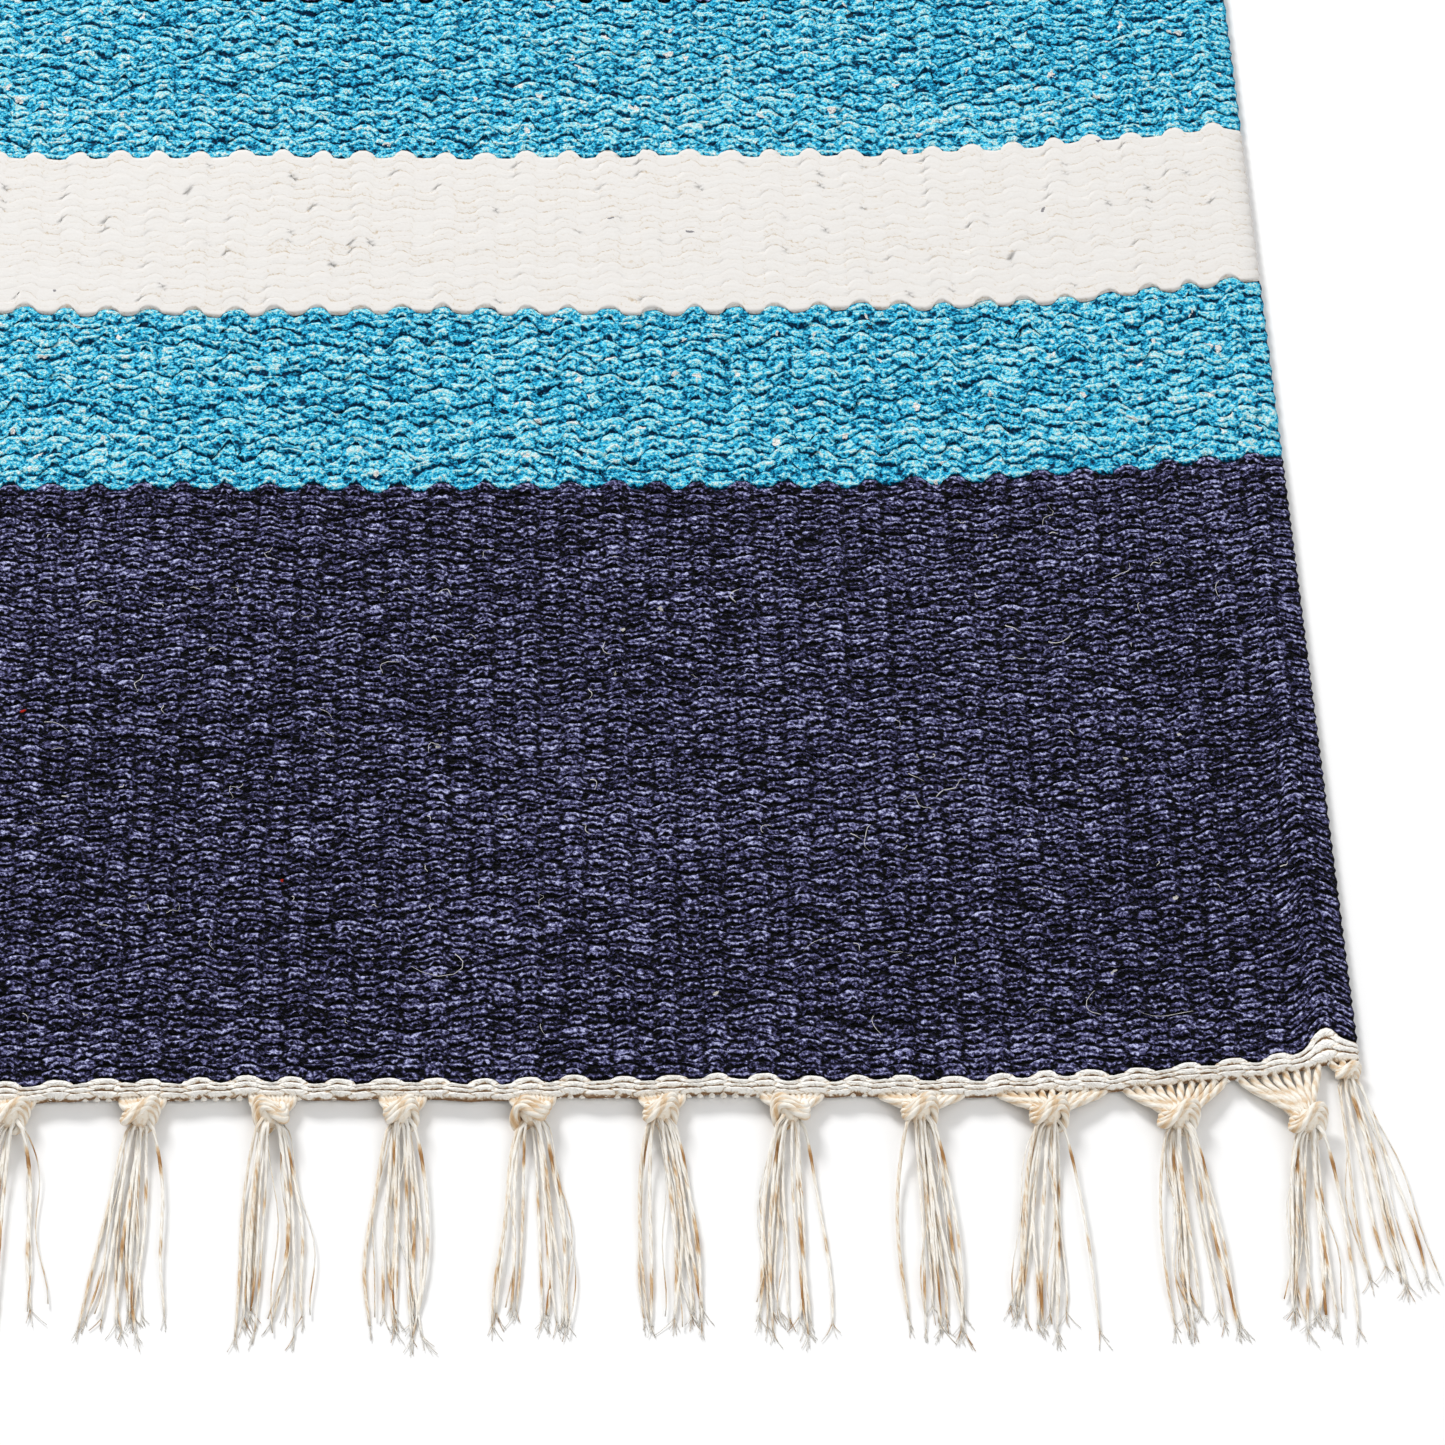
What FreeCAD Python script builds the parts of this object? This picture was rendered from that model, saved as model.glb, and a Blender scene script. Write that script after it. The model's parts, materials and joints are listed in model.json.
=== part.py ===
"""Flat-woven cotton runner rug with knotted tassels, in millimetres.

The rug lies flat with its length along Y, its underside on z = 0 and its middle at the origin.
Cross bands of weft hold a sheet of warp cords. At both ends the warps leave a narrow plain
header and are tied into tassels. The bands are in three panels, so that both ends fold over the
middle, and every tassel turns on its own line at the header's edge.
"""

import FreeCAD
import Part
import math
import os

# Overall size of the woven cloth
rug_width = 600.0
rug_thickness = 4.5

# Bands of coloured weft, from one end to the other: navy, three stripes, navy, and so on
navy_length = 204.5
blue_length = 68.5
white_length = 64.0
navy_count = 5
header_length = 5.0

# The wefts bow towards the far end beside each selvedge, in a tighter curve at the headers
bow_rise = 10.5
header_bow_reach = 70.0
stripe_bow_reach = 110.0

# Warp cords inside the bands. The weft passes over two cords at a time, which makes one rib
warp_pitch = 3.0
warp_diameter = 2.2

# Tassels, tied from the warp ends
tassel_count = 18
first_tassel_inset = 15.1
last_tassel_inset = 25.6
tassel_length = 75.0
neck_thickness = 2.2
knot_width = 10.0
knot_thickness = 8.0
knot_distance = 6.0
skirt_top_thickness = 4.5
skirt_tip_thickness = 3.0
skirt_tip_width = 19.0

# Beside the first selvedge the knots sit a little further out, where the header has bowed away
far_knot_extra = 5.0
far_knot_reach = 110.0

# The small leftover tassel beside one selvedge
corner_tassel_inset = 4.6
corner_knot_distance = 6.0
corner_scale = 0.5
corner_lean = 7.0

# Clearances between bodies that move apart
fold_gap = 0.3
tassel_gap = 0.3

half_width = rug_width / 2
stripe_group = [("blue_outer", blue_length), ("white", white_length), ("blue_inner", blue_length)]


def band_list():
    """Every band from front to back as (name, start y, end y), centred on y = 0."""
    plan = [("navy_1", navy_length)]
    for n in range(1, navy_count):
        before_middle = n <= navy_count // 2
        order = stripe_group if before_middle else stripe_group[::-1]
        plan += [(f"{kind}_{n}", length) for kind, length in order]
        plan.append((f"navy_{n + 1}", navy_length))
    y = -sum(length for name, length in plan) / 2
    rows = []
    for name, length in plan:
        rows.append((name, y, y + length))
        y += length
    return rows


bands = band_list()
woven_half = bands[-1][2]
rug_half = woven_half + header_length

# Fold lines: where the outer stripe group meets the second navy band
fold_y = next(end for name, start, end in bands if name == "blue_inner_1")


def edge_bow(x, reach=header_bow_reach):
    """How far a bowed weft has moved towards +Y at x: a circular arc in from each selvedge."""
    radius = (reach**2 + bow_rise**2) / (2 * bow_rise)
    s = max(0.0, abs(x) - (half_width - reach))
    return radius - math.sqrt(radius**2 - s**2)


def cross_line(y, bowed, reverse=False):
    """Edges of one band boundary across the rug at y, straight or with an arc at each selvedge."""
    at_header = abs(y) > woven_half - 0.001
    reach = header_bow_reach if at_header else stripe_bow_reach
    rise = bow_rise if bowed else 0.0
    inner = half_width - reach
    if not bowed:
        ends = [FreeCAD.Vector(-half_width, y, 0), FreeCAD.Vector(half_width, y, 0)]
        if reverse:
            ends.reverse()
        return [Part.makeLine(ends[0], ends[1])]
    middle_x = half_width - reach / 2
    middle_y = y + edge_bow(middle_x, reach)
    left = [(-half_width, y + rise), (-middle_x, middle_y), (-inner, y)]
    right = [(inner, y), (middle_x, middle_y), (half_width, y + rise)]
    line = [(-inner, y), (inner, y)]
    if reverse:
        left, right, line = right[::-1], left[::-1], line[::-1]
    first, flat, last = [[FreeCAD.Vector(px, py, 0) for px, py in row] for row in (left, line, right)]
    return [Part.Arc(*first).toShape(), Part.makeLine(*flat), Part.Arc(*last).toShape()]


def slab(y_start, y_end, start_bowed, end_bowed):
    """A flat strip of cloth between two cross lines, as thick as the rug."""
    front = cross_line(y_start, start_bowed)
    back = cross_line(y_end, end_bowed, reverse=True)
    right_side = Part.makeLine(front[-1].lastVertex(True).Point, back[0].firstVertex(True).Point)
    left_side = Part.makeLine(back[-1].lastVertex(True).Point, front[0].firstVertex(True).Point)
    wire = Part.Wire(front + [right_side] + back + [left_side])
    return Part.Face(wire).extrude(FreeCAD.Vector(0, 0, rug_thickness))


def is_fold(y):
    """True where a band boundary is also a fold line."""
    return abs(abs(y) - abs(fold_y)) < 1e-6


def make_band(y_start, y_end):
    """One colour band. A boundary at a fold is straight and stands back half the fold's gap."""
    start = y_start + fold_gap / 2 if is_fold(y_start) else y_start
    end = y_end - fold_gap / 2 if is_fold(y_end) else y_end
    return slab(start, end, not is_fold(y_start), not is_fold(y_end))


def make_warps(part_of_rug):
    """The warp cords of one panel, side by side at the middle of the cloth's thickness."""
    count = int(rug_width // warp_pitch)
    cords = []
    for i in range(count):
        x = (i - (count - 1) / 2) * warp_pitch
        fold_edge = abs(fold_y) + fold_gap / 2
        start, end = {
            "front": (-rug_half + edge_bow(x), -fold_edge),
            "middle": (-fold_edge + fold_gap, fold_edge - fold_gap),
            "back": (fold_edge, rug_half + edge_bow(x)),
        }[part_of_rug]
        base = FreeCAD.Vector(x, start, rug_thickness / 2)
        cords.append(Part.makeCylinder(warp_diameter / 2, end - start, base, FreeCAD.Vector(0, 1, 0)))
    return Part.makeCompound(cords)


def section(y, x_middle, width, z_low, z_high):
    """A closed upright rectangle across the tassel at y."""
    x_low, x_high = x_middle - width / 2, x_middle + width / 2
    corners = [(x_low, z_low), (x_high, z_low), (x_high, z_high), (x_low, z_high)]
    points = [FreeCAD.Vector(x, y, z) for x, z in corners]
    return Part.makePolygon(points + points[:1])


def make_tassel(x, edge_y, knot_y, tip_y, size, lean):
    """A neck of warp ends, the knot and the skirt of loose threads, from the edge to the tips."""
    width = knot_width * size
    radius = knot_thickness * size / 2
    neck_low = (rug_thickness - neck_thickness) / 2
    neck_high = neck_low + neck_thickness
    root = section(edge_y, x, width, neck_low, neck_high)
    throat = section(knot_y, x, width * 0.7, neck_low, neck_high)
    neck = Part.makeLoft([root, throat], True, True)
    along_x = FreeCAD.Vector(1, 0, 0)
    knot = Part.makeCylinder(radius, width, FreeCAD.Vector(x - width / 2, knot_y, radius), along_x)
    rims = [edge for edge in knot.Edges if edge.Closed]
    knot = knot.makeFillet(radius * 0.6, rims)
    top = section(knot_y, x, width * 0.7, radius - skirt_top_thickness * size / 2,
                  radius + skirt_top_thickness * size / 2)
    tip = section(tip_y, x + lean, skirt_tip_width * size, 0.0, skirt_tip_thickness)
    skirt = Part.makeLoft([top, tip], True, True)
    return neck.fuse([knot, skirt]).removeSplitter()


def tassel_x(number):
    """Distance of a regular tassel's middle from the rug's middle; the first is beside +X."""
    pitch = (rug_width - first_tassel_inset - last_tassel_inset) / (tassel_count - 1)
    return half_width - first_tassel_inset - number * pitch


def tassel_place(x, end, distance, size, lean):
    """Edge, knot and tip of the tassel at x, where end is -1 at the front and 1 at the back.

    The neck starts clear of the header over its whole width, and the knot stands at least
    its own radius and a neck's thickness beyond that.
    """
    half_neck = knot_width * size / 2
    bows = [edge_bow(x - half_neck), edge_bow(x + half_neck)]
    edge = end * rug_half + (min(bows) if end < 0 else max(bows)) + end * tassel_gap
    least = knot_thickness * size / 2 + neck_thickness / 2
    knot = end * max(distance, end * edge + least)
    tip = end * (rug_half + tassel_length)
    return x * -end, edge, knot, tip, size, lean * -end


def tassel_row(end):
    """The tassels of one end as (name, place). The back row is the front row turned half a turn."""
    row = []
    for number in range(tassel_count):
        x = tassel_x(number)
        nearness = max(0.0, 1 - (half_width - x) / far_knot_reach)
        distance = rug_half + knot_distance + far_knot_extra * nearness
        row.append((f"{number + 1:02d}", tassel_place(x, end, distance, 1.0, 0.0)))
    x = half_width - corner_tassel_inset
    distance = rug_half - bow_rise + corner_knot_distance
    row.append(("corner", tassel_place(x, end, distance, corner_scale, corner_lean)))
    return row


os.makedirs("parts", exist_ok=True)
nodes = {}
for band_name, band_start, band_end in bands:
    nodes[band_name] = make_band(band_start, band_end)
nodes["front_header"] = slab(-rug_half, -woven_half, True, True)
nodes["back_header"] = slab(woven_half, rug_half, True, True)
for panel in ("front", "middle", "back"):
    nodes[f"{panel}_warps"] = make_warps(panel)
for end_name, end_side in (("front", -1), ("back", 1)):
    for tassel_name, place in tassel_row(end_side):
        nodes[f"{end_name}_tassel_{tassel_name}"] = make_tassel(*place)

for node_name, shape in nodes.items():
    if not shape.isValid():
        raise ValueError(f"{node_name} is not a valid shape")
    shape.exportStep(f"parts/{node_name}.step")
print(len(nodes), "nodes written")
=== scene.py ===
"""Flat-woven cotton runner: bands of coloured weft on paired warp cords, with knotted tassels."""

import json
import math

import bpy
import numpy as np
from mathutils import Matrix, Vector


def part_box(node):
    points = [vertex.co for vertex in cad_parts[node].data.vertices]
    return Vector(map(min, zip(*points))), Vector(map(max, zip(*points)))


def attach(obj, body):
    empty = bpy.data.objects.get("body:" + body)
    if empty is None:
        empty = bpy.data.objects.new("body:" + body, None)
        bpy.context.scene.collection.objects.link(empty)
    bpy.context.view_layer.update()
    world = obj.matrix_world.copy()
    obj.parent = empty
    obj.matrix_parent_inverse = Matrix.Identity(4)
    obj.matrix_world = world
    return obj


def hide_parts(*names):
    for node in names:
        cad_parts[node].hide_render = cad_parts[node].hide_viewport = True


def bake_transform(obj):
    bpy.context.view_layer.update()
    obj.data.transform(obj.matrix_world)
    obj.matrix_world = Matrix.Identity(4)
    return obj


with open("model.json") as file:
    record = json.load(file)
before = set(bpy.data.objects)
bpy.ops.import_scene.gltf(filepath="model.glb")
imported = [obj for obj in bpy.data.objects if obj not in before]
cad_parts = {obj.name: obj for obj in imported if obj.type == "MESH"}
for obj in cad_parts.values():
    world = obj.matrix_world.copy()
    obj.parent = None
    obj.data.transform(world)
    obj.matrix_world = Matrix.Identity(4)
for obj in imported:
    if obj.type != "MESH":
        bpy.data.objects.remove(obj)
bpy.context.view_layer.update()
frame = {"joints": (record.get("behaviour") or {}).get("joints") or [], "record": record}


# ---- The woven cloth -------------------------------------------------------------------------
# Soft cotton weft beaten down so hard that it hides the warps. Each pick goes over two warp
# cords and under the next two, which raises a row of beads; the next pick fills the gaps, so
# neighbouring ribs are half a bead apart and every change of colour is scalloped.

body_of = {n: b for b, nodes in frame["record"]["behaviour"]["bodies"].items() for n in nodes}
joints = {j["name"]: j for j in frame["joints"]}
cloth = sorted(
    [n for n in body_of if n.split("_")[0] in ("navy", "blue", "white") or n.endswith("_header")],
    key=lambda n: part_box(n)[0][1],
)
starts = [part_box(n)[0][1] for n in cloth]
header_depth = starts[1] - starts[0]
lines = np.array(starts + [starts[-1] + header_depth])
half_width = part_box("navy_3")[1][0]
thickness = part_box("navy_3")[1][2]
middle_height = thickness / 2
rib_pitch = 0.006
ribs = round(2 * half_width / rib_pitch)
bow_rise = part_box("front_header")[1][1] - starts[1]

# One entry per yarn: bead length along the rug, strands that lie in one bead, relief of a bead,
# how uneven the beads are, and how far their columns interlock, in ribs.
yarns = {
    "navy": {"bead": 0.0039, "strands": 2, "relief": 0.0011, "uneven": 0.35, "lock": 0.18},
    "blue": {"bead": 0.0064, "strands": 2, "relief": 0.0014, "uneven": 0.50, "lock": 0.20},
    "white": {"bead": 0.0045, "strands": 2, "relief": 0.00025, "uneven": 0.35, "lock": 0.09},
    "header": {"bead": 0.0017, "strands": 1, "relief": 0.0012, "uneven": 0.25, "lock": 0.15},
}

# Places of the samples across one rib: two close to its edges and the others over its crest.
fine_rib = (0.08, 0.36, 0.64, 0.92)
plain_rib = (0.10, 0.50, 0.90)
header_rib = (0.06, 0.22, 0.40, 0.60, 0.78, 0.94)


def line_at(i, x):
    """Place of band boundary i at x: line + rise · exp(-(distance from selvedge / reach)^1.25).

    Where the header's cords turn round the last warp beside the small tassel they pile up into a
    mound, which pushes the inner line of the header towards the bands.
    """
    last = len(lines) - 1
    reach, rise = (0.034, 1.0) if i in (0, 1, last - 1, last) else (0.060, 1.25)
    inward = np.clip(half_width - np.abs(x), 0, None)
    bowed = lines[i] + bow_rise * rise * np.exp(-((inward / reach) ** 1.25))
    side = {1: 1, last - 1: -1}.get(i, 0)
    return bowed + side * 0.0052 * np.exp(-(((side * x - half_width + 0.0080) / 0.0058) ** 2))


def bow(x):
    """How far the header's outer edge has bowed towards +Y at x."""
    return line_at(0, x) - lines[0]


def wander(u, y):
    """Slow unevenness of hand weaving at rib u and place y: sums of three long sine waves."""
    dx = 0.00035 * np.sin(0.83 * u + 61 * y) + 0.00030 * np.sin(2.1 * u - 118 * y + 1.7)
    dy = 0.00045 * np.sin(0.31 * u + 37 * y + 0.6) + 0.00035 * np.sin(0.94 * u - 71 * y)
    return dx + 0.00015 * np.sin(5.3 * u + 301 * y), dy + 0.00018 * np.sin(3.7 * u + 163 * y)


def add_mesh(name, points, face_rows, marks, mark_name):
    """A smooth mesh from (n, 3) points and arrays of faces; marks are three values per point."""
    mesh = bpy.data.meshes.new(name)
    sizes = np.concatenate([np.full(len(rows), rows.shape[1]) for rows in face_rows])
    corners = np.concatenate([rows.ravel() for rows in face_rows])
    mesh.vertices.add(len(points))
    mesh.vertices.foreach_set("co", np.ascontiguousarray(points, dtype=np.float32).ravel())
    mesh.loops.add(len(corners))
    mesh.loops.foreach_set("vertex_index", corners.astype(np.int32))
    mesh.polygons.add(len(sizes))
    mesh.polygons.foreach_set("loop_start", np.concatenate([[0], np.cumsum(sizes)[:-1]]).astype(np.int32))
    mesh.polygons.foreach_set("use_smooth", np.ones(len(sizes), dtype=bool))
    mesh.update(calc_edges=True)
    attribute = mesh.attributes.new(mark_name, "FLOAT_VECTOR", "POINT")
    attribute.data.foreach_set("vector", np.ascontiguousarray(marks, dtype=np.float32).ravel())
    piece = bpy.data.objects.new(name, mesh)
    bpy.context.scene.collection.objects.link(piece)
    return piece


def grid_faces(k, flip):
    """Quads of a grid of point numbers."""
    quads = np.stack([k[:-1, :-1], k[:-1, 1:], k[1:, 1:], k[1:, :-1]], -1).reshape(-1, 4)
    return quads[:, ::-1] if flip else quads


def wall_faces(upper, upper_places, under, under_places, flip):
    """Faces between two edges: each cell of the under edge meets its run of upper samples."""
    start = np.searchsorted(upper_places, under_places[:-1] - 1e-9)
    cells = np.searchsorted(upper_places, under_places[1:] - 1e-9) - start
    rows = []
    for count in np.unique(cells):
        picked = np.flatnonzero(cells == count)
        runs = upper[start[picked][:, None] + np.arange(count, -1, -1)]
        faces = np.concatenate([under[picked][:, None], under[picked + 1][:, None], runs], 1)
        rows.append(faces[:, ::-1] if flip else faces)
    return rows


# The two folds: the span of the soft roll in which the cloth would turn over, from just inside
# the fold's axis, so that the part on the floor stays flat, to a little beyond it on the panel that
# swings. The cloth is not bent here; only the sampling of the bands is finer near it.
roll_inside, roll_outside = 0.008, 0.022


def roll_ends(end):
    """Where the roll at one end of the rug meets the swinging panel, and where the middle one."""
    axis = joints[f"{end}_fold"]["pos_m"][1]
    outward = -1 if end == "front" else 1
    return axis + outward * roll_outside, axis - outward * roll_inside


def weave_band(name, i, scallops, yarn, rib_places, steps, seed, hem=0):
    """Band i as a closed sheet on a grid of (rib u, bead v), with a = |2 · fraction(u) - 1|.

    x = u across + lock · rib · cos(pi u) · sin(2 pi v), which makes the columns of beads interlock,
    y = between the band's lines + wander + scallop · (flattened cos(pi (u - 1/2)) - 0.45 · a^2),
    z = valley + relief · (1 - 0.35 · a^3) · (1 - groove(v) · (1 - 0.8 · a^2)) · chance(bead),
    rounded at the selvedges by sqrt(1 - (1 - u)^2). The underside is a coarser grid, except
    near the folds, where it is sampled finely though the band is not rolled. hem is -1 or 1 where the
    start or the end of the band is a rounded edge.
    """
    rng = np.random.default_rng(seed)
    beads = max(3, round((lines[i + 1] - lines[i]) / yarn["bead"]))
    uneven, relief = yarn["uneven"], yarn["relief"]
    chance = rng.uniform(1 - uneven, 1 + 0.4 * uneven, (beads, ribs))
    shift = rng.normal(0, 0.30 * uneven * yarn["bead"], (beads + 1, ribs))
    tilt = rng.normal(0, 0.28 * uneven * yarn["bead"], (beads + 1, ribs))
    # the two sides meet at their edges, this far from the middle of the cloth
    lip = 0.00012

    def surface(u, v, upper):
        """Grid points of one side for rows v and columns u."""
        v, u = np.meshgrid(v, u, indexing="ij")
        bead = np.clip(v.astype(int), 0, beads - 1)
        rib = np.clip(u.astype(int), 0, ribs - 1)
        part = v - bead
        edge = np.minimum(np.minimum(u, ribs - u), 1)
        inside = np.minimum(np.minimum(v, beads - v), 1)
        across = 2 * (u - rib) - 1
        share = v / beads
        dx, dy = wander(u, lines[i] + (lines[i + 1] - lines[i]) * share)
        zigzag = yarn["lock"] * rib_pitch * np.cos(np.pi * u) * np.sin(2 * np.pi * v)
        x = (u / ribs * 2 - 1) * half_width + (dx + zigzag) * edge
        # each pick bulges a little where it turns round the last warp
        x += np.sign(u - ribs / 2) * 0.0005 * np.sin(np.pi * v) ** 2 * (1 - edge)
        sway = np.interp(v, [0, 1.5, beads - 1.5, beads],
                         [scallops[0], yarn["bead"] / 4, yarn["bead"] / 4, scallops[1]])
        wave = np.cos(np.pi * (u - 0.5))
        y = line_at(i, x) * (1 - share) + line_at(i + 1, x) * share + dy
        y += sway * (np.sign(wave) * np.abs(wave) ** 0.5 - 0.45 * across**2)
        moved = shift[bead, rib] * (1 - part) + shift[bead + 1, rib] * part
        turned = tilt[bead, rib] * (1 - part) + tilt[bead + 1, rib] * part
        y += (moved * (1 - 0.6 * across**2) + turned * across) * inside
        # the groove between two beads is deeper than the one between a bead's strands
        depth = np.where(np.abs(part - 0.5) > 0.25, 0.75, 0.40)
        groove = (1 - np.abs(np.sin(np.pi * v * yarn["strands"]))) * depth * (1 - 0.8 * across**2)
        rise = relief * (1 - 0.35 * np.abs(across) ** 3) * (1 - groove) * chance[bead, rib]
        rise += rng.normal(0, 0.06 * relief, u.shape)
        rounding = np.sqrt(1 - (1 - edge) ** 2)
        if hem:
            near = np.clip((v if hem < 0 else beads - v) / 0.9, 0, 1)
            rounding = rounding * np.sqrt(1 - (1 - near) ** 2)
        if upper:
            z = middle_height + lip + (middle_height - lip - relief + rise) * rounding
        else:
            under = 0.0002 + 0.0003 * (chance[bead, rib] - 1)
            z = middle_height - lip - (middle_height - lip - under) * rounding
        points = np.stack([x, y, z], -1)
        marks = np.stack([u, v, np.full(u.shape, 0.0 if upper else 1.0)], -1)
        return points.reshape(-1, 3), marks.reshape(-1, 3)

    def columns(places):
        """Places across all the ribs, with both selvedges."""
        return np.concatenate([[0.0], (np.arange(ribs)[:, None] + np.array(places)).ravel(), [ribs]])

    top_v = np.linspace(0, beads, beads * steps + 1)
    top_y = lines[i] + (lines[i + 1] - lines[i]) * top_v / beads
    rolls = [sorted(roll_ends(end)) for end in ("front", "back")]
    near_rolls = [(top_y > low - 2 * bow_rise) & (top_y < high + bow_rise) for low, high in rolls]
    in_roll = np.any(near_rolls, axis=0)
    top_u = columns(rib_places)
    under_v = top_v[in_roll | (np.arange(len(top_v)) % steps == 0)]
    under_u = columns((rib_places[0], rib_places[-1]))
    top, top_marks = surface(top_u, top_v, True)
    under, under_marks = surface(under_u, under_v, False)
    t = np.arange(len(top)).reshape(len(top_v), len(top_u))
    b = np.arange(len(under)).reshape(len(under_v), len(under_u)) + len(top)
    faces = [
        grid_faces(t, False),
        grid_faces(b, True),
        *wall_faces(t[0], top_u, b[0], under_u, False),
        *wall_faces(t[-1], top_u, b[-1], under_u, True),
        *wall_faces(t[:, -1], top_v, b[:, -1], under_v, False),
        *wall_faces(t[:, 0], top_v, b[:, 0], under_v, True),
    ]
    points, marks = np.concatenate([top, under]), np.concatenate([top_marks, under_marks])
    return add_mesh(name, points, faces, marks, "weave")


class Value:
    """A shader socket that takes Python arithmetic: each operation adds one Math node."""

    def __init__(self, finish, socket):
        self.finish, self.socket = finish, socket

    def math(self, operation, *others, first=None):
        inputs = [self.socket if first is None else first]
        inputs += [o.socket if isinstance(o, Value) else o for o in others]
        node = self.finish.add("ShaderNodeMath", {"operation": operation}, dict(enumerate(inputs)))
        return Value(self.finish, node.outputs[0])

    def __add__(self, other):
        return self.math("ADD", other)

    def __sub__(self, other):
        return self.math("SUBTRACT", other)

    def __mul__(self, other):
        return self.math("MULTIPLY", other)

    def __rsub__(self, other):
        return self.math("SUBTRACT", self, first=other)

    def __pow__(self, other):
        return self.math("POWER", other)

    __radd__ = __add__
    __rmul__ = __mul__

    def floor(self):
        return self.math("FLOOR")

    def fract(self):
        return self.math("FRACT")

    def sine(self):
        return self.math("SINE")

    def over(self, limit):
        """1 where the value is above the limit, else 0."""
        return self.math("GREATER_THAN", limit)

    def above(self, limit):
        """How far the value is above the limit, else 0."""
        return (self - limit).math("MAXIMUM", 0.0)

    def from_middle(self):
        """|2 · fract - 1|: 0 in the middle of a cell and 1 at its borders."""
        return (self.fract() * 2 - 1).math("ABSOLUTE")


class Finish:
    """A node material under construction."""

    def __init__(self, name):
        self.material = bpy.data.materials.new(name)
        self.material.use_nodes = True
        self.tree = self.material.node_tree
        self.tree.nodes.clear()

    def add(self, kind, settings=None, sockets=None):
        """A node of that kind: its settings first, then the values or links of its sockets."""
        node = self.tree.nodes.new(kind)
        for key, value in (settings or {}).items():
            if key == "stops":
                ramp = node.color_ramp
                while len(ramp.elements) < len(value):
                    ramp.elements.new(0.5)
                for element, (place, colour) in zip(ramp.elements, value):
                    element.position, element.color = place, (*colour, 1.0)
            else:
                setattr(node, key, value)
        for key, value in (sockets or {}).items():
            source = value.socket if isinstance(value, Value) else value
            if isinstance(source, bpy.types.NodeSocket):
                self.tree.links.new(source, node.inputs[key])
            else:
                node.inputs[key].default_value = source
        return node

    def value(self, node, output=0):
        return Value(self, node.outputs[output])

    def point(self, x, y, z):
        """Three values as one vector."""
        return self.add("ShaderNodeCombineXYZ", None, {0: x, 1: y, 2: z}).outputs[0]

    def marks(self, name):
        """The three values of a point attribute."""
        node = self.add("ShaderNodeAttribute", {"attribute_name": name})
        split = self.add("ShaderNodeSeparateXYZ", None, {0: node.outputs["Vector"]})
        return [self.value(split, i) for i in range(3)]

    def noise(self, vector, scale, detail=2.0):
        """Soft noise from 0 to 1."""
        sockets = {"Vector": vector, "Scale": scale, "Detail": detail}
        return self.value(self.add("ShaderNodeTexNoise", {"noise_dimensions": "3D"}, sockets), "Fac")

    def chance(self, x, y, z):
        """A random value from 0 to 1 for each cell."""
        sockets = {"Vector": self.point(x, y, z)}
        node = self.add("ShaderNodeTexWhiteNoise", {"noise_dimensions": "3D"}, sockets)
        return self.value(node, "Value")

    def ramp(self, value, stops):
        """A colour read off a row of (place, colour) stops."""
        node = self.add("ShaderNodeValToRGB", {"stops": stops}, {"Fac": value})
        return node.outputs["Color"]

    def mix(self, factor, one, other):
        """A colour between two."""
        one, other = [c if isinstance(c, bpy.types.NodeSocket) else (*c, 1.0) for c in (one, other)]
        node = self.add("ShaderNodeMix", {"data_type": "RGBA"}, {0: factor, 6: one, 7: other})
        return node.outputs[2]

    def surface(self, colour, roughness, height, depth, sheen):
        """The closing shader: cotton's colour, roughness and relief, with a soft fuzz sheen."""
        bump = self.add("ShaderNodeBump", None, {"Height": height, "Distance": depth, "Strength": 0.9})
        sockets = {
            "Base Color": colour,
            "Roughness": roughness,
            "Normal": bump.outputs[0],
            "Sheen Weight": sheen,
            "Sheen Roughness": 0.5,
            "Specular IOR Level": 0.06,
        }
        shader = self.add("ShaderNodeBsdfPrincipled", None, sockets)
        self.add("ShaderNodeOutputMaterial", None, {0: shader.outputs[0]})
        return self.material


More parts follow.
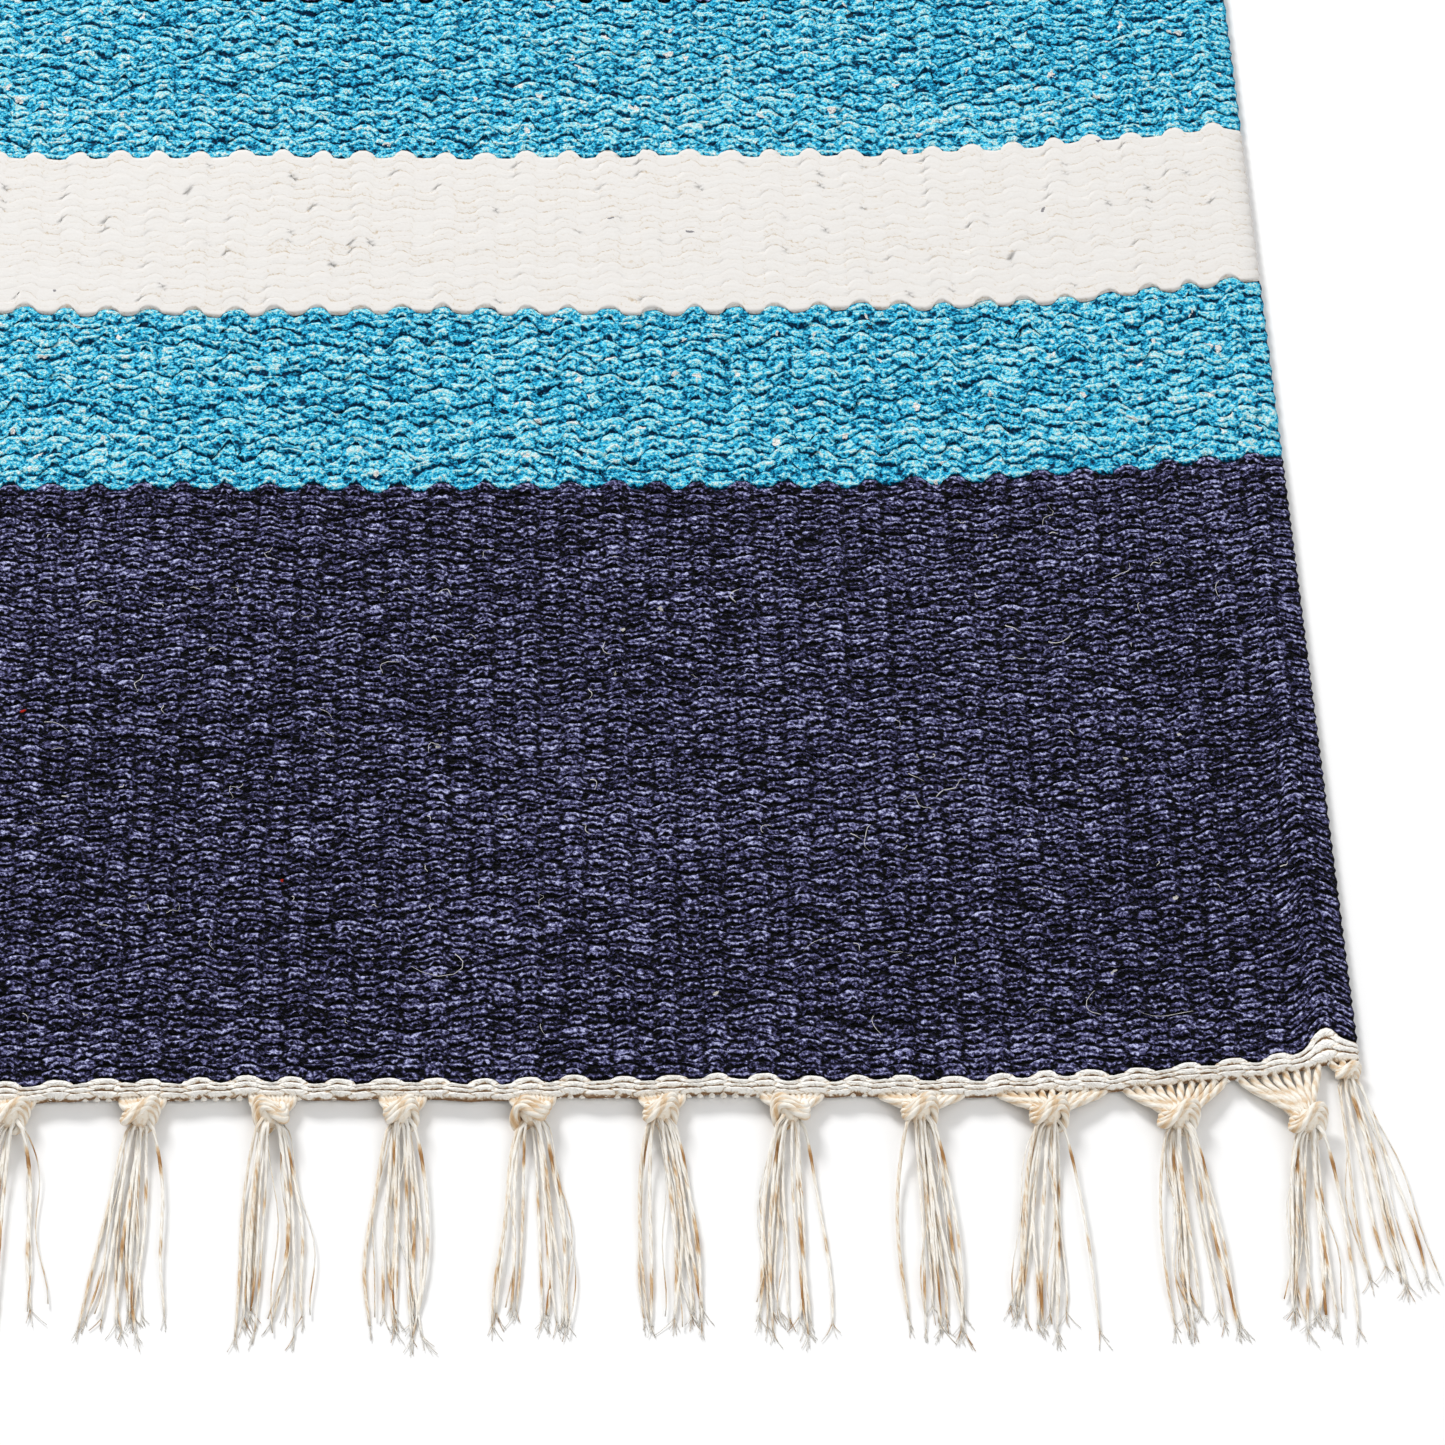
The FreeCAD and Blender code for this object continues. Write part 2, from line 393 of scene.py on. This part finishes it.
def yarn_finish(name, strands, colours, flecks, painted_shade_depth, hollow, streaks, fluff, relief):
    """Cotton yarn seen as beads.

    Painted shade darkens the hollows below every bead and strand, and the crests left light take the
    ramp's light end as painted highlights. Each bead, strand and pick takes its own depth of dye, a
    twist runs slantwise along the strands with a little painted shade in its grooves, pale strokes
    along the strands are partly fibres and partly painted highlights, and loose fibres fuzz it all.
    The lower the power hollow, the wider the painted shade between strands. Each fleck is a colour,
    the share of small cells that hold one, and a number of its own.
    """
    f = Finish(name)
    place = f.add("ShaderNodeTexCoord").outputs["Object"]
    u, v, side = f.marks("weave")
    stir = f.noise(place, 380.0, 2.0) - 0.5
    lift = f.noise(place, 520.0, 2.0) - 0.5
    u = u + stir * 0.5
    v = v + lift * 0.5
    rows = v * strands
    across, bead_edge, strand_edge = u.from_middle(), v.from_middle(), rows.from_middle()
    rib, bead, strand = u.floor(), v.floor(), rows.floor()
    by_bead = f.chance(rib, bead, side)
    by_strand = f.chance(rib, strand, side + 7.3)
    by_pick = f.chance(0.0, bead, side + 3.1)
    # the twist's light and dark bands: a little painted shade in its grooves
    twist = ((u * 5.0 + rows * 1.4 + stir * 1.5) * (2 * math.pi)).sine()
    # pale strokes along the strands: partly fibre streaks, partly painted highlights
    strokes = f.noise(f.point(u * 1.3, rows * 2.0, side + stir), 1.7, 3.0) - 0.5
    fuzz = f.noise(place, 1100.0, 3.0) - 0.5
    cloud = f.noise(place, 9.0, 2.0)
    middle = 1 - across**2 * 0.45
    # painted shade in the hollows between beads, strands and ribs; where it is zero, on the crests, the
    # ramp's light end paints highlights
    crevice_shade = (bead_edge**hollow * 0.55 + strand_edge**hollow * 0.65) * middle + across**5 * 0.50
    shade = 0.72 + (by_bead - 0.5) * 0.10 + (by_strand - 0.5) * 0.16 + (by_pick - 0.5) * 0.05
    shade = shade + twist * 0.05 + strokes * streaks + fuzz * fluff + (cloud - 0.5) * 0.12
    shade = shade - crevice_shade * painted_shade_depth
    colour = f.ramp(shade, colours)
    for fleck_colour, share, seed in flecks:
        cell_u, cell_v = u * 3.0, rows * 1.5
        hit = f.chance(cell_u.floor(), cell_v.floor(), side + seed).over(1 - share)
        spot = 1 - (cell_u.from_middle() ** 2 + cell_v.from_middle() ** 2)
        colour = f.mix(hit * spot.over(0.4), colour, fleck_colour)
    height = (1 - crevice_shade) * 0.9 + twist * 0.10 + strokes * 0.9 + fuzz * (1.2 * fluff)
    return f.surface(colour, 0.95 - shade * 0.12, height, relief, 0.02)


# The finish of each yarn: colours from painted shade in the hollows between strands, through the
# dye's own tones, to painted highlights on the fibres of their crests.
finishes = {
    "navy": yarn_finish(
        "navy yarn",
        strands=2,
        colours=[
            (0.0, (0.0001, 0.0001, 0.0004)),
            (0.20, (0.0003, 0.0003, 0.002)),
            (0.34, (0.016, 0.015, 0.042)),
            (0.45, (0.058, 0.055, 0.135)),
            (0.58, (0.17, 0.17, 0.37)),
            (0.82, (0.65, 0.68, 1.0)),
        ],
        flecks=[((0.62, 0.60, 0.56), 0.0007, 1.0), ((0.45, 0.02, 0.01), 0.00008, 2.0)],
        painted_shade_depth=0.92, hollow=1.5, streaks=0.7, fluff=1.5, relief=0.0012,
    ),
    "blue": yarn_finish(
        "sky blue yarn",
        strands=2,
        colours=[
            (0.0, (0.0001, 0.02, 0.06)),
            (0.20, (0.0005, 0.12, 0.25)),
            (0.36, (0.015, 0.43, 0.76)),
            (0.50, (0.07, 0.71, 1.0)),
            (0.67, (0.46, 0.94, 1.0)),
            (0.95, (0.95, 1.0, 1.0)),
        ],
        flecks=[((0.95, 0.95, 0.92), 0.0100, 1.0), ((0.01, 0.03, 0.05), 0.0008, 2.0)],
        painted_shade_depth=0.80, hollow=2.2, streaks=0.7, fluff=1.4, relief=0.0014,
    ),
    "white": yarn_finish(
        "off-white yarn",
        strands=2,
        colours=[
            (0.0, (0.46, 0.34, 0.22)),
            (0.34, (0.62, 0.55, 0.46)),
            (0.50, (0.715, 0.69, 0.66)),
            (1.0, (0.745, 0.73, 0.71)),
        ],
        flecks=[((0.25, 0.24, 0.25), 0.0004, 1.0), ((0.30, 0.02, 0.01), 0.0001, 2.0)],
        painted_shade_depth=0.30, hollow=4.0, streaks=0.5, fluff=0.6, relief=0.00006,
    ),
    "header": yarn_finish(
        "undyed header cord",
        strands=1,
        colours=[
            (0.0, (0.25, 0.14, 0.07)),
            (0.25, (0.62, 0.50, 0.37)),
            (0.42, (0.94, 0.91, 0.85)),
            (1.0, (1.0, 0.99, 0.97)),
        ],
        flecks=[((0.35, 0.18, 0.07), 0.004, 1.0)],
        painted_shade_depth=0.90, hollow=3.0, streaks=0.8, fluff=0.5, relief=0.0007,
    ),
}

def bend_at_fold(piece, end):
    """Bakes the piece's placement into its mesh; the piece is not bent round the roll."""
    swinging, still = (0, roll_ends(end)[0], 0), (0, roll_ends(end)[1], 0)
    if end == "front":
        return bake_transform(piece)
    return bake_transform(piece)


def place_piece(piece, low_y, high_y, body):
    """Bakes the piece's placement if it reaches into a roll, and otherwise rides it on its body."""
    for end in ("front", "back"):
        low_end, high_end = sorted(roll_ends(end))
        if low_y < high_end and high_y > low_end:
            return bend_at_fold(piece, end)
    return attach(piece, body)


bands = {}
kinds = ["header" if node.endswith("_header") else node.split("_")[0] for node in cloth]
for i, (node, kind) in enumerate(zip(cloth, kinds)):
    beads_near = [yarns[kinds[k]]["bead"] for k in (max(i - 1, 0), i, min(i + 1, len(cloth) - 1))]
    scallops = [max(beads_near[:2]) / 4, max(beads_near[1:]) / 4]
    hem = {0: -1, len(cloth) - 1: 1}.get(i, 0)
    if hem:
        scallops[0 if hem < 0 else 1] = 0.0002
    # the front panel's long blue beads are sampled most finely, and the far bands least
    if kind == "header":
        rib_places, steps = header_rib, 5
    elif body_of[node] == "front_panel":
        rib_places, steps = fine_rib, 6 if kind == "blue" else 4
    else:
        rib_places, steps = plain_rib, 3
    piece = weave_band(f"{node}_weave", i, scallops, yarns[kind], rib_places, steps, 100 + i, hem)
    piece.data.materials.append(finishes[kind])
    place_piece(piece, lines[i] - 0.002, lines[i + 1] + bow_rise + 0.002, body_of[node])
    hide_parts(node)
    bands[node] = piece


# ---- Warp cords ------------------------------------------------------------------------------
# Undyed cotton cords that run the whole length of the rug inside the weft, two to each rib.
# They are strung on the loom first, and their ends make the tassels.

cord_radius = 0.0011
pressed = 0.75  # how thin the weft presses a cord inside the cloth, as a share of its radius
cord_count = 2 * ribs
cord_x = (np.arange(cord_count) - (cord_count - 1) / 2) * rib_pitch / 2


upwards = (0, 0, 1.0)


def tubes(paths, radii, sides, across, plies=2, pitch=0.005, swell=0.12, tied=False):
    """Round cords along m paths of n points.

    Ring point = path + r · (1 + swell · cos(plies · a - turn)) · (cos a · N + sin a · B), where N is
    tangent x across, B is N x tangent and turn = 2 pi · length / pitch. Marks are length along the
    cord, a number of the cord's own (over 1 where it is loose) and cos(plies · a - turn), which is
    -1 in the ply's groove.
    """
    m, n = paths.shape[:2]
    tangent = np.gradient(paths, axis=1)
    tangent /= np.linalg.norm(tangent, axis=2, keepdims=True) + 1e-12
    normal = np.cross(tangent, np.broadcast_to(across, tangent.shape))
    normal /= np.linalg.norm(normal, axis=2, keepdims=True) + 1e-12
    other = np.cross(normal, tangent)
    steps = np.linalg.norm(np.diff(paths, axis=1), axis=2)
    length = np.concatenate([np.zeros((m, 1)), np.cumsum(steps, axis=1)], 1)
    a = np.arange(sides) * 2 * np.pi / sides
    ply = np.cos(plies * a - 2 * np.pi * length[..., None] / pitch)
    ring = np.broadcast_to(radii, (m, n))[..., None] * (1 + swell * ply)
    points = paths[:, :, None] + ring[..., None] * (
        np.cos(a)[:, None] * normal[:, :, None] + np.sin(a)[:, None] * other[:, :, None]
    )
    own = np.broadcast_to((np.arange(m) * 0.6180339)[:, None, None] % 1 + (not tied), ply.shape)
    marks = np.stack([np.broadcast_to(length[..., None], ply.shape), own, ply], -1)
    k = np.arange(m * n * sides).reshape(m, n, sides)
    turned = np.roll(k, -1, axis=2)
    sleeve = np.stack([k[:, :-1], k[:, 1:], turned[:, 1:], turned[:, :-1]], -1).reshape(-1, 4)
    return points.reshape(-1, 3), marks.reshape(-1, 3), [sleeve, k[:, 0], k[:, -1, ::-1]]


def join(parts):
    """Several results of tubes as one set of points, marks and faces."""
    points, marks, faces, count = [], [], [], 0
    for part_points, part_marks, part_faces in parts:
        points.append(part_points)
        marks.append(part_marks)
        faces += [rows + count for rows in part_faces]
        count += len(part_points)
    return np.concatenate(points), np.concatenate(marks), faces


def cord_finish(name, colours, patch_shade, fuzz):
    """Undyed cotton cord: cream on the plies, with painted shade in tan in their grooves and in
    patches along the cord, which stand for the shade between threads.

    Tied cords are duller than loose ones and carry less of the patch shade.
    """
    f = Finish(name)
    place = f.add("ShaderNodeTexCoord").outputs["Object"]
    along, own, ply = f.marks("cord")
    fibres = f.noise(f.point(along * 700.0, own * 50.0, ply * 2.0), 1.0, 3.0)
    patches = f.noise(f.point(along * 70.0, own * 37.0, 0.0), 1.0, 1.0)
    tied = 1 - own.over(1.0)
    shaded_patch = patches.above(0.5) * patch_shade * (1 - tied * 0.7)
    # painted shade: darker in the ply's grooves and painted light on its crests, and darker in the tan
    # patches that stand for shade between threads
    shade = 0.72 - tied * 0.20 + ply * 0.18 + (fibres - 0.5) * fuzz - shaded_patch
    shade = shade + (f.noise(place, 60.0, 1.0) - 0.5) * 0.2
    height = ply * 0.5 + fibres + f.noise(place, 2500.0, 1.0) * 0.4
    return f.surface(f.ramp(shade, colours), 0.92 - shade * 0.1, height, 0.0002, 0.05)


# undyed cotton, from the brown of painted shade in grooves and patches to cream on the crests
undyed = [
    (0.0, (0.38, 0.19, 0.07)),
    (0.30, (0.66, 0.46, 0.27)),
    (0.52, (0.84, 0.765, 0.65)),
    (0.8, (0.99, 0.965, 0.91)),
]
warp_finish = cord_finish("undyed warp cord", undyed, 0.5, 0.3)

header_lines = {"front": lines[0], "back": lines[-1]}
fold_at = {end: joints[f"{end}_fold"]["pos_m"][1] for end in ("front", "back")}
warp_runs = [
    ("front_warps_cords", "front_warps", header_lines["front"], fold_at["front"], "front"),
    ("middle_warps_front_half", "middle_warps", fold_at["front"], 0.0, "front"),
    ("middle_warps_back_half", "middle_warps", 0.0, fold_at["back"], "back"),
    ("back_warps_cords", "back_warps", fold_at["back"], header_lines["back"], "back"),
]
for name, node, low_y, high_y, end in warp_runs:
    # samples crowd towards the fold, where the cords would bend, though they are not bent here
    steps = np.concatenate([np.linspace(0, 0.026, 18), np.linspace(0.04, high_y - low_y, 8)])
    y = low_y + steps if abs(low_y - fold_at[end]) < 0.01 else high_y - steps[::-1]
    bowed = np.where(np.abs(y) > 0.8, bow(cord_x)[:, None], 0)
    cord_y = np.broadcast_to(y, (cord_count, len(y))) + bowed
    cord_z = np.full(cord_y.shape, middle_height)
    cords = np.stack([np.broadcast_to(cord_x[:, None], cord_y.shape), cord_y, cord_z], -1)
    points, marks, faces = tubes(cords, cord_radius * pressed, 4, upwards, swell=0)
    piece = add_mesh(name, points, faces, marks, "cord")
    piece.data.materials.append(warp_finish)
    bend_at_fold(piece, end)
    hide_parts(node)


# ---- Tassels ---------------------------------------------------------------------------------
# Ten or twelve warp ends are drawn together below the header and tied in one overhand knot hard
# against it; below the knot the cords untwist into loose threads with frayed tips.

tassel_finish = cord_finish("undyed tassel cord", undyed, 3.2, 0.45)
knot_distance = 0.0056
knot_height = 0.0041
knot_half_width = 0.0040
knot_half_height = 0.0028
skirt_half_width = 0.0068
# the necks fan out widest beside the first selvedge, and are narrow this far in from it
fan_reach = 0.17


def spline(controls, n):
    """Cubic Bezier curves: (m, 4, 3) controls to (m, n, 3) points, sum of binomial · s^k (1-s)^(3-k)."""
    s = np.linspace(0, 1, n)[:, None]
    weights = np.concatenate([(1 - s) ** 3, 3 * s * (1 - s) ** 2, 3 * s**2 * (1 - s), s**3], 1)
    return np.einsum("nk,mkd->mnd", weights, controls)


def draw_neck(x, knot_y, edge, ends_x, size):
    """Neck cords: Bezier curves from the warp ends' places at the header's edge to the knot."""
    m = len(ends_x)
    fan = np.clip(2 - 2 * (half_width - x) / fan_reach, 0, 1)
    root_x = x + (ends_x - x) * (0.38 + 0.62 * fan)
    root_y = edge(root_x) + 0.003
    drop = edge(np.full(m, x)) - knot_y
    near_knot = (ends_x - x) / (np.abs(ends_x - x).max() + 1e-9)
    # the middle cords lie on top at the knot
    order = np.argsort(np.abs(near_knot))
    lift = np.zeros(m)
    lift[order] = np.linspace(0.0012, -0.0008, m) * size
    knot_z = knot_height * size
    zero = np.zeros(m)
    controls = np.stack([
        np.stack([root_x, root_y, zero + 0.0020], -1),
        np.stack([root_x, root_y - 0.003 - 0.25 * drop, zero + 0.0022], -1),
        np.stack([x + near_knot * 0.0042 * size, knot_y + 0.45 * drop, knot_z + lift * 0.6], -1),
        np.stack([x + near_knot * 0.0024 * size, zero + knot_y, knot_z + lift], -1),
    ], 1)
    return tubes(spline(controls, 12), cord_radius * 0.85, 8, upwards, tied=True)


def draw_knot(x, knot_y, size, rng):
    """Three cords side by side, wound slantwise round a core.

    Each is the ellipse (wide · cos(phi), row + slant · sin(2 phi), high · sin(phi)), drawn in at its ends.
    """
    slant = rng.choice([-1, 1]) * rng.uniform(0.0012, 0.0022) * size
    phi = np.linspace(-0.55 * np.pi, 1.75 * np.pi, 34)[None]
    row = np.array([[-1.0], [0.0], [1.0]])
    slim = 1 - 0.05 * row**2
    tuck = 1 - 0.35 * np.clip(np.abs(phi - 0.6 * np.pi) / (1.15 * np.pi) - 0.75, 0, 1) * 4
    wide = knot_half_width * size * rng.uniform(0.9, 1.1)
    high = knot_half_height * size
    bulge = rng.uniform(-0.0008, 0.0008) * size
    knot_z = knot_height * size
    wound = np.stack([
        x + bulge * row + wide * slim * tuck * np.cos(phi),
        knot_y + row * 0.00165 * size + slant * np.sin(2 * phi) + 0.0004 * size * np.cos(phi + row),
        knot_z + high * slim * tuck * np.sin(phi),
    ], -1)
    knot = tubes(wound, cord_radius * (0.95 if size > 0.8 else 0.8), 8, (0, 1.0, 0), tied=True)
    core_y = np.linspace(knot_y + 0.0030 * size, knot_y - 0.0036 * size, 9)
    core_path = np.stack([np.full(9, x), core_y, np.full(9, knot_z)], -1)[None]
    core_radius = np.array([1.4, 2.2, 2.8, 3.0, 3.0, 2.8, 2.3, 1.9, 1.2]) * 0.001 * size
    core = tubes(core_path, core_radius, 12, upwards, plies=6, pitch=0.02, swell=0.05, tied=True)
    return knot, core


def draw_threads(x, knot_y, tip_y, size, lean, rng):
    """Loose threads in clumps, tight below the knot, bowed outwards and lying on the floor by their tips.

    x = start + place · half width · (1.25 · s^0.5 - 0.25 · s^3) + sway + curl + lean · s,
    z = radius + (start - radius) · exp(-(s / 0.2)^1.4) + layer. Returns paths, skirt and strays.
    """
    threads = max(7, round(11 * size))
    s = np.linspace(0, 1, 24)[None]
    clumps = np.sort(rng.uniform(-1, 1, 4))
    picked = np.sort(rng.integers(0, len(clumps), threads))
    place = (clumps[picked] * 0.80 + rng.normal(0, 0.22, threads))[:, None]
    place[0], place[-1] = -0.9, 0.9
    start_x = x + np.linspace(-1, 1, threads)[:, None] * 0.0019 * size
    spread = place * skirt_half_width * (0.6 + 0.4 * size) * (1.25 * s**0.5 - 0.25 * s**3)
    sway = rng.uniform(0.0003, 0.0010, (threads, 1)) * np.sin(
        2 * np.pi * (rng.uniform(0.5, 1.3, (threads, 1)) * s + rng.uniform(0, 1, (threads, 1))))
    curl = rng.normal(0, 0.0016, (threads, 1)) * s**3
    tips = tip_y + rng.uniform(-0.003, 0.006, (threads, 1))
    start_y = knot_y - 0.0022 * size
    start_z = knot_height * size + rng.uniform(-0.0012, 0.0014, (threads, 1)) * size
    thread_radius = rng.uniform(0.00036, 0.00054, (threads, 1))
    layer = rng.uniform(0, 0.0016, (threads, 1)) * np.sin(np.pi * s) ** 0.7
    down = np.exp(-((s / 0.20) ** 1.4))
    z = thread_radius + (start_z - thread_radius) * down + layer * (1 - down)
    y = start_y + (tips - start_y) * s
    paths = np.stack([start_x + spread + (sway + curl) * s**0.7 + lean * s, y, z], -1)
    skirt = tubes(paths, thread_radius * (1 - 0.35 * s**6), 5, upwards, swell=0.18, pitch=0.004)

    # fine single yarns between the threads
    thin = 3
    strays = paths[rng.integers(0, threads, thin)] + np.stack([
        rng.normal(0, 0.0022, (thin, 1)) * s**0.6 + 0.0009 * np.sin(9 * s + rng.uniform(0, 6, (thin, 1))),
        rng.normal(0, 0.002, (thin, 1)) * s,
        0.0004 * np.ones((thin, 1)) * s,
    ], -1)
    return paths, skirt, tubes(strays, 0.00022, 3, upwards, swell=0)


def draw_frays(paths, rng):
    """Frayed tips: four fine fibres from each thread's end, heading + aside · q^1.5."""
    fine = 4
    count = len(paths) * fine
    last, before = np.repeat(paths[:, -1], fine, 0), np.repeat(paths[:, -4], fine, 0)
    heading = (last - before) / np.linalg.norm(last - before, axis=1, keepdims=True)
    q = np.linspace(0, 1, 5)[None, :, None]
    reach = rng.uniform(0.003, 0.0065, (count, 1, 1))
    aside = rng.normal(0, 0.26, (count, 1, 1)) * np.array([1.0, 0, 0])
    fray = last[:, None] + heading[:, None] * (q * reach - 0.001) + aside * reach * q**1.5
    fray[..., 2] = np.clip(fray[..., 2], 0.0002, None)
    return tubes(fray, 0.00016 * (1 - 0.5 * q[..., 0]), 3, upwards, swell=0)


def make_tassel(x, knot_y, tip_y, edge, ends_x, size, lean, rng):
    """Neck cords, knot and loose threads of one tassel that points towards -Y, with its knot at x."""
    neck = draw_neck(x, knot_y, edge, ends_x, size)
    knot, core = draw_knot(x, knot_y, size, rng)
    paths, skirt, strays = draw_threads(x, knot_y, tip_y, size, lean, rng)
    return join([neck, knot, core, skirt, strays, draw_frays(paths, rng)])


def tassel_owner(end, turn):
    """For one end: names of its tassels, their knots' x and the cords that each takes.

    Each cord goes to its nearest tassel. x is counted as on the front end, so turn is -1 at the back.
    """
    names = sorted(n for n in body_of if n.startswith(f"{end}_tassel_"))
    places = np.array([joints[f"{n}_flip"]["pos_m"][0] * turn for n in names])
    owner = np.argmin(np.abs(cord_x[:, None] - places[None]), axis=1)
    return names, places, [cord_x[owner == k] for k in range(len(names))]


tassels = {"front": [], "back": []}
for end, turn in (("front", 1), ("back", -1)):

    def edge(x):
        """The header's edge in the frame of an end whose tassels point towards -Y."""
        return turn * (header_lines[end] + bow(x))

    for k, (node, x, ends_x) in enumerate(zip(*tassel_owner(end, turn))):
        rng = np.random.default_rng(700 + k + (50 if end == "back" else 0))
        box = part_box(node)
        tip_y = box[0][1] if end == "front" else -box[1][1]
        # the threads stop short of the box by what their longest frayed tips add
        tip_y += 0.0072
        if node.endswith("corner"):
            size, lean = 0.62, 0.0065
            knot_x, knot_y, tip_y = x + 0.0015, edge(x) - 0.0032, tip_y + 0.010
        else:
            size, lean = 1.0, rng.normal(0, 0.0015)
            nearness = max(0.0, 1 - (half_width - x) / 0.11)
            straight_y = edge(0.0) - knot_distance - 0.0050 * nearness
            knot_x, knot_y = x, min(straight_y, edge(x) - 0.0048)
        points, marks, faces = make_tassel(knot_x, knot_y, tip_y, edge, ends_x, size, lean, rng)
        points[:, :2] *= turn
        piece = add_mesh(f"{node}_threads", points, faces, marks, "cord")
        piece.data.materials.append(tassel_finish)
        # the tassel's placement is baked into its mesh at both ends; the neck is not bent round the
        # tassel's own hinge
        if end == "front":
            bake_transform(piece)
        else:
            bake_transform(piece)
        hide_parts(node)
        tassels[end].append(piece)


# ---- Loose fibres ----------------------------------------------------------------------------
# Pale cotton hairs worked loose in weaving, which cling to the dark bands.


def loose_fibres(name, low_y, high_y, count, rng):
    """Hairs as arcs: start + length · (cos, sin)(heading + bend · s), arched over the beads."""
    s = np.linspace(0, 1, 8)[None]
    length = rng.gamma(3.0, 0.0013, (count, 1))
    heading = rng.uniform(0, 2 * np.pi, (count, 1)) + rng.normal(0, 0.8, (count, 1)) * s
    heading = heading + rng.uniform(0, 0.5, (count, 1)) * np.sin(rng.uniform(2, 9, (count, 1)) * s)
    x = rng.uniform(-half_width + 0.012, half_width - 0.012, (count, 1)) + length * np.cos(heading) * s
    y = rng.uniform(low_y + 0.016, high_y - 0.012, (count, 1)) + length * np.sin(heading) * s
    y = np.clip(y, low_y + 0.004, high_y - 0.004)
    z = thickness + 0.00015 + 0.0005 * np.sin(np.pi * s) * rng.uniform(0.2, 1.0, (count, 1))
    paths = np.stack([x, y + bow(x), z], -1)
    width = rng.uniform(0.00008, 0.00017, (count, 1)) * (1 - 0.6 * s**3)
    points, marks, faces = tubes(paths, width, 3, upwards, swell=0)
    return add_mesh(name, points, faces, marks, "cord")


fibres_per_band = 150
pale = [
    (0.0, (0.30, 0.28, 0.26)),
    (0.30, (0.55, 0.53, 0.50)),
    (0.55, (0.72, 0.70, 0.66)),
    (1.0, (0.85, 0.84, 0.80)),
]
fibre_finish = cord_finish("loose pale fibre", pale, 0.2, 0.2)
for k, node in enumerate(n for n in cloth if n.startswith("navy")):
    i = cloth.index(node)
    rng = np.random.default_rng(900 + k)
    piece = loose_fibres(f"{node}_loose_fibres", lines[i], lines[i + 1], fibres_per_band, rng)
    piece.data.materials.append(fibre_finish)
    place_piece(piece, lines[i], lines[i + 1], body_of[node])
    bands[f"{node}_fibres"] = piece

# Each band's flat size, and the headers, fibres and tassels that go with the navy ones, are worked out
# here but not used further.
for i, node in enumerate(cloth):
    if node.endswith("_header"):
        continue
    along = [bands[f"{node}_fibres"]] if node.startswith("navy") else []
    for end, neighbour in (("front", i == 1), ("back", i == len(cloth) - 2)):
        along += [bands[f"{end}_header"], *tassels[end]] if neighbour else []
    flat = (2 * half_width, float(lines[i + 1] - lines[i]))


# ---- Floor, light and camera -----------------------------------------------------------------
# A plain pale floor under broad soft light. The camera looks down on the near right-hand corner.

floor_finish = Finish("pale floor")
floor_sockets = {"Base Color": (0.92, 0.92, 0.92, 1.0), "Roughness": 0.9}
floor_shader = floor_finish.add("ShaderNodeBsdfPrincipled", None, floor_sockets)
floor_finish.add("ShaderNodeOutputMaterial", None, {0: floor_shader.outputs[0]})
floor_half = 9.0
corners = floor_half * np.array([[-1, -1, 0], [1, -1, 0], [1, 1, 0], [-1, 1, 0]], dtype=float)
floor = add_mesh("floor", corners, [np.array([[0, 1, 2, 3]])], corners, "place")
floor.data.materials.append(floor_finish.material)

world = bpy.data.worlds.new("soft room")
world.use_nodes = True
world.node_tree.nodes["Background"].inputs["Color"].default_value = (1.0, 1.0, 1.0, 1.0)
world.node_tree.nodes["Background"].inputs["Strength"].default_value = 0.55
bpy.context.scene.world = world


def soft_light(name, place, target, side, power):
    """A square area light at a place, turned towards a target."""
    light = bpy.data.lights.new(name, "AREA")
    light.shape, light.size, light.energy = "SQUARE", side, power
    lamp = bpy.data.objects.new(name, light)
    back = np.array(place, dtype=float) - np.array(target, dtype=float)
    z = back / np.linalg.norm(back)
    x = np.cross((0.0, 1.0, 0.02), z)
    x /= np.linalg.norm(x)
    rows = np.column_stack([x, np.cross(z, x), z])
    lamp.matrix_world = Matrix([[*rows[r], place[r]] for r in range(3)] + [[0, 0, 0, 1]])
    bpy.context.scene.collection.objects.link(lamp)


soft_light("window", (-1.1, 1.7, 1.9), (0.1, -0.7, 0.0), 0.9, 90.0)
soft_light("fill", (1.8, -2.4, 2.6), (0.0, -0.5, 0.0), 2.2, 30.0)

down, yaw, roll = math.radians(50.0), math.radians(3.19), math.radians(2.24)
corner_place = np.array([half_width, lines[0] + bow_rise, thickness])
camera_place = corner_place + np.array([-0.2116, -0.8012, 1.0901])
forward = np.array([math.sin(yaw) * math.cos(down), math.cos(yaw) * math.cos(down), -math.sin(down)])
level = np.array([math.cos(yaw), -math.sin(yaw), 0.0])
above = np.cross(level, forward)
right = math.cos(roll) * level + math.sin(roll) * above
up = -math.sin(roll) * level + math.cos(roll) * above
camera_data = bpy.data.cameras.new("camera")
camera_data.lens, camera_data.sensor_width = 131.7, 36.0
camera_data.clip_start, camera_data.clip_end = 0.05, 100.0
camera = bpy.data.objects.new("camera", camera_data)
turned = np.column_stack([right, up, -forward])
camera.matrix_world = Matrix([[*turned[r], camera_place[r]] for r in range(3)] + [[0, 0, 0, 1]])
bpy.context.scene.collection.objects.link(camera)
bpy.context.scene.camera = camera
bpy.context.scene.view_settings.view_transform = "Standard"
